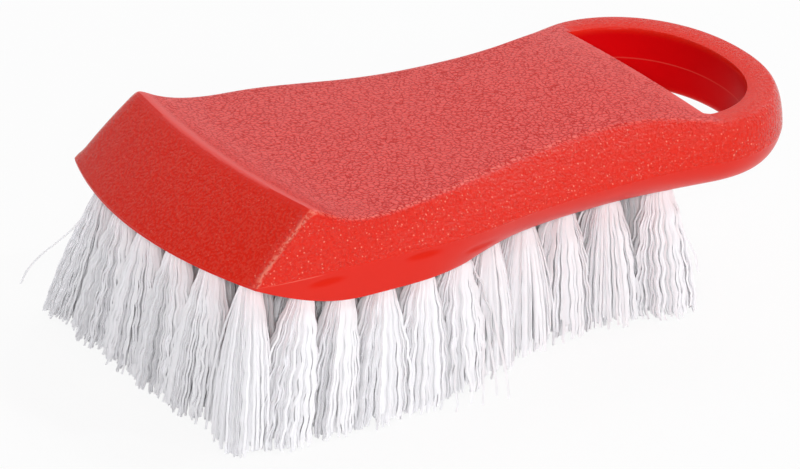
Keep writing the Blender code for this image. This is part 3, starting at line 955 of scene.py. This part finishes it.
# %% [markdown]
# ## Holes and anchors
#
# Each tuft is a bundle that a machine folds over a small flat piece of wire, the anchor, and drives into a
# blind hole. The holes are cut with a Boolean, because they cross the block's curved underside at a slant.

# %% Holes and anchors
HOLE_RADIUS = 2.9 * MM
HOLE_DEPTH = 5.9 * MM
HOLE_SIDES = 16
OVERRUN = 4 * MM  # the drill starts this far outside the block
ANCHOR = (5.4 * MM, 0.35 * MM, 1.6 * MM)  # width, thickness and height
ANCHOR_BEVEL = 0.1 * MM
ANCHOR_DEPTH_SHARE = 0.8  # of its height, from the upper end of the plug down to its middle
ANCHOR_COLOUR = (0.62, 0.58, 0.52, 1)
ANCHOR_ROUGHNESS = (0.25, 0.5)
TARNISH_SIZE = 1.5 * MM


def along_axis(tuft):
    return tuft.axis.to_track_quat("-Z", "Y").to_matrix().to_4x4()


def drill_tuft_holes(block):
    bm = bmesh.new()
    for tuft in tufts:
        bmesh.ops.create_cone(
            bm,
            cap_ends=True,
            segments=HOLE_SIDES,
            radius1=HOLE_RADIUS,
            radius2=HOLE_RADIUS,
            depth=HOLE_DEPTH + OVERRUN,
            matrix=Matrix.Translation(tuft.root + tuft.axis * (OVERRUN - HOLE_DEPTH) / 2) @ along_axis(tuft),
        )
    drills = add_piece("drills", bm, block.data.materials[0])
    cut = block.modifiers.new("tuft_holes", "BOOLEAN")
    cut.object = drills
    cut.solver = "EXACT"
    apply_modifiers(block)
    bpy.data.objects.remove(drills)
    block.data.set_sharp_from_angle(angle=SHARP_ANGLE)


def make_anchors():
    material, tree, shader = new_material("anchor_wire")
    shader.inputs["Metallic"].default_value = 1.0
    where = add_node(tree, "TexCoord").outputs["Object"]
    tarnish = noise(tree, where, TARNISH_SIZE, 3.0).outputs[0]
    tree.links.new(map_range(tree, tarnish, 0.3, 0.7, *ANCHOR_ROUGHNESS), shader.inputs["Roughness"])
    shader.inputs["Base Color"].default_value = ANCHOR_COLOUR
    bm = bmesh.new()
    for tuft in tufts:
        middle = tuft.top + tuft.axis * ANCHOR[2] * ANCHOR_DEPTH_SHARE
        size = Matrix.Diagonal((*ANCHOR, 1))
        bmesh.ops.create_cube(bm, size=1, matrix=Matrix.Translation(middle) @ along_axis(tuft) @ size)
    bmesh.ops.bevel(
        bm, geom=bm.edges[:], offset=ANCHOR_BEVEL, segments=1, profile=0.5, affect="EDGES", material=-1
    )
    anchors = add_piece("tuft_anchors", bm, material)
    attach(anchors, "root")


drill_tuft_holes(block)
make_anchors()
print("holes:", len(tufts), "- the block now has", len(block.data.polygons), "faces")

# %% [markdown]
# ## The bristle
#
# Scrub filament is drawn nylon or polypropylene, and it is crimped: it waves along its length, so that a tuft
# fills out. Filaments that lay side by side in the machine keep their waves in step, which gives locks. Each
# filament starts as a small triangle in the plug, and all the triangles of a tuft are extruded together,
# step by step, as if the machine drew them out. A filament has few faces, because there are thousands. A
# few single filaments have left their tuft, and their tips are placed one by one, as in the photograph.

# %% Filaments of one tuft
FILAMENTS_IN_TUFT = 185
FILAMENT_SIDES = 3
FILAMENT_RADIUS = 0.32 * MM
FILAMENT_STEPS = 19
FILAMENT_SHARP_ANGLE = math.radians(60)  # keeps a filament's three edges sharp
CRIMP_LENGTH = 6.3 * MM
CRIMP_REACH = (0.16 * MM, 0.34 * MM)  # in a tuft that waves least, and most
CRIMP_DRIFT = 0.6  # how much the phase of the waves changes across a tuft
CRIMP_BEGINS = (0, 0.25)  # shares of a filament's length, between which its waves grow
FLARE_POWER = 1.9
START_DEPTH = 0.4 * MM  # below the upper end of the plug
TIP_REACH_SHARES = {"open": 1.12, "crowded": 1.65}  # how far the tips spread, as a share of the frame's
TIP_RAGGED = 1.9 * MM  # the spread of their lengths
LOCKS_IN_TUFT = 14
LOCK_PULL = 0.22  # how far the tips of a lock draw together
LOCK_PULLS = (0.4, 1.2)  # how much of that pull a filament gets, from least to most
LOCK_FROM = 0.4  # the share of its length from which it is pulled
ASTRAY_SHARE = 0.06
ASTRAY_TIMES = (3.0, 5.0)  # how much wider than the rest a filament that goes astray is scattered
# How much filaments differ: in the place of the tip, phase, wave length, swing, reach of the wave, and turn
TIP_SPREAD, PHASE_SPREAD, WAVE_SPREAD = 0.06, 0.25, 0.01
SWING_SPREAD, REACH_SPREAD, TURN_SPREAD = 0.25, 0.25, 0.25
STRAY_START = 0.95  # where a stray starts, as a share of the tuft's radius
STRAYS = {
    # single filaments that stick out of a tuft: the place of the tip in millimetres, and where it leaves
    "tuft_01_6": ((-85.2, 48.7, 7.4, 0.2),),
    "tuft_06_1": ((-27.7, -48.3, 0.3, 0.5), (-30.0, -45.5, 0.3, 0.6), (-22.5, -46.3, 0.3, 0.6)),
    "tuft_07_1": ((-14.3, -48.6, 0.3, 0.4), (-15.6, -45.8, 0.3, 0.5), (-20.8, -48.3, 0.3, 0.4)),
    "tuft_11_1": ((48.7, -30.0, 8.8, 0.3),),
}
SIDE_OUTWARDS = math.pi  # turns one flat side of a filament, and no corner, away from the middle of its tuft
GOLDEN_ANGLE = math.radians(137.508)
SUNFLOWER_POWER = 0.44


def flat(angle, reach=1.0):
    return Vector((math.cos(angle), math.sin(angle), 0)) * reach


def scatter(rng, reach):
    return Vector((rng.gauss(0, reach), rng.gauss(0, reach), 0))


def sunflower(count, turn):
    """Places spread over a circle of radius 1, like sunflower seeds. A half would spread them evenly."""
    return [flat(n * GOLDEN_ANGLE + turn, ((n + 0.5) / count) ** SUNFLOWER_POWER) for n in range(count)]


class Wave:
    """The crimp of one tuft. Its phase changes slowly across the tuft, so neighbours keep in step."""

    def __init__(self, rng):
        self.phase = rng.uniform(0, 2 * math.pi)
        self.drift = flat(rng.uniform(0, 2 * math.pi), CRIMP_DRIFT)
        self.swing = rng.uniform(-1.0, 1.0)
        self.reach = rng.uniform(*CRIMP_REACH)
        self.turn = rng.uniform(0, 2 * math.pi)
        self.locks = sunflower(LOCKS_IN_TUFT, rng.uniform(0, 2 * math.pi))


class Filament:
    """One bristle: where it leaves the block, where it ends, and how it waves between the two."""

    def __init__(self, tuft, crimp, out, rng):
        self.tuft = tuft
        self.start = out * (TUFT_RADIUS - FILAMENT_RADIUS)
        astray = 1.0 if rng.random() > ASTRAY_SHARE else rng.uniform(*ASTRAY_TIMES)
        tip = out + scatter(rng, TIP_SPREAD * astray)
        lock = min(crimp.locks, key=lambda place: (place - tip).length)
        self.end = self.widened(tip)
        self.pull = (self.widened(lock) - self.end) * LOCK_PULL * rng.uniform(*LOCK_PULLS)
        self.pulled_from = LOCK_FROM
        self.phase = crimp.phase + out.dot(crimp.drift) + rng.gauss(0, PHASE_SPREAD)
        self.wave = CRIMP_LENGTH * rng.gauss(1, WAVE_SPREAD)
        self.swing = flat(crimp.swing + rng.gauss(0, SWING_SPREAD), crimp.reach * rng.gauss(1, REACH_SPREAD))
        self.last = 1 - abs(rng.gauss(0, TIP_RAGGED)) / tuft.length
        self.turn = math.atan2(out.y, out.x) + SIDE_OUTWARDS + rng.gauss(0, TURN_SPREAD)

    def widened(self, place):
        """A place in a circle of radius 1, stretched to the size of the tuft at its tips."""
        grown = [way * reach for way, reach in zip(place, self.tuft.reach)]
        for axis, open_way in enumerate(self.tuft.open_side()):
            grown[axis] *= TIP_REACH_SHARES["open" if open_way * place[axis] > 0 else "crowded"]
        return Vector((*grown, 0))

    def point(self, step):
        if step <= 0:
            return self.tuft.top + self.start + self.tuft.axis * START_DEPTH
        t = (step - 1) / (FILAMENT_STEPS - 1) * self.last
        spread = 1 - (1 - t) ** FLARE_POWER
        wave = math.sin(2 * math.pi * t * self.tuft.length / self.wave + self.phase)
        place = self.tuft.root.lerp(self.tuft.tip, t) + self.start.lerp(self.end, spread)
        place += self.swing * wave * ease(*CRIMP_BEGINS, t) + self.pull * ease(self.pulled_from, 1.0, t)
        place.z = max(place.z, FILAMENT_RADIUS)
        return place


def stray(tuft, crimp, place, rng):
    """A filament that keeps to the outside of its tuft at first, and then leaves it for a tip of its own."""
    tip = Vector(place[:3]) * MM
    away = (tip - tuft.tip) * Vector((1, 1, 0))
    filament = Filament(tuft, crimp, away.normalized() * STRAY_START, rng)
    filament.pull = tip - tuft.tip - filament.end
    filament.pulled_from = place[3]
    filament.last = 1.0
    return filament


def draw_filaments(bm, filaments):
    """Put a small face at each filament's start and extrude them all, one step at a time."""
    number = bm.faces.layers.int.new("number")
    for index, filament in enumerate(filaments):
        ring = bmesh.ops.create_circle(
            bm,
            cap_ends=True,
            segments=FILAMENT_SIDES,
            radius=FILAMENT_RADIUS,
            matrix=Matrix.Translation(filament.point(0)) @ Matrix.Rotation(filament.turn, 4, "Z"),
        )
        ring["verts"][0].link_faces[0][number] = index
    ends = bm.faces[:]
    for step in range(1, FILAMENT_STEPS + 1):
        ends = bmesh.ops.extrude_discrete_faces(bm, faces=ends)["faces"]
        for end in ends:
            filament = filaments[end[number]]
            move = filament.point(step) - filament.point(step - 1)
            for vert in end.verts:
                vert.co += move


def make_tuft(tuft, material):
    rng = random.Random(tuft.name)
    crimp = Wave(rng)
    filaments = [Filament(tuft, crimp, out, rng) for out in sunflower(FILAMENTS_IN_TUFT, crimp.turn)]
    filaments += [stray(tuft, crimp, place, rng) for place in STRAYS.get(tuft.name, ())]
    bm = bmesh.new()
    draw_filaments(bm, filaments)
    bmesh.ops.recalc_face_normals(bm, faces=bm.faces)
    piece = add_piece("bristle_" + tuft.name, bm, material, "bristle", sharp=FILAMENT_SHARP_ANGLE)
    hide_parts(tuft.name)


# %% [markdown]
# ## White bristle material
#
# The filament is milky white all through, with only a soft gloss. Its tint drifts a little from place to
# place. Real filament also lets some light through, which a plain white surface with a high reflectance
# stands in for: thin clear threads would need far more bounces of light to come out as bright.

# %% White bristle
BRISTLE_WHITES = ((0.98, 0.975, 0.995, 1), (0.965, 0.96, 0.985, 1))
TINT_SIZE = 3 * MM
BRISTLE_ROUGHNESS = 0.5
BRISTLE_GLOSS = 0.2


def make_bristle_material():
    material, tree, shader = new_material("white_bristle")
    where = add_node(tree, "TexCoord").outputs["Object"]
    tint = noise(tree, where, TINT_SIZE, 2.0).outputs[0]
    tree.links.new(mix_colours(tree, tint, *BRISTLE_WHITES), shader.inputs["Base Color"])
    shader.inputs["Roughness"].default_value = BRISTLE_ROUGHNESS
    shader.inputs["Specular IOR Level"].default_value = BRISTLE_GLOSS
    return material


bristle_material = make_bristle_material()
for tuft in tufts:
    make_tuft(tuft, bristle_material)
strays = sum(len(places) for places in STRAYS.values())
print("filaments:", len(tufts) * FILAMENTS_IN_TUFT, "in tufts, and", strays, "strays")
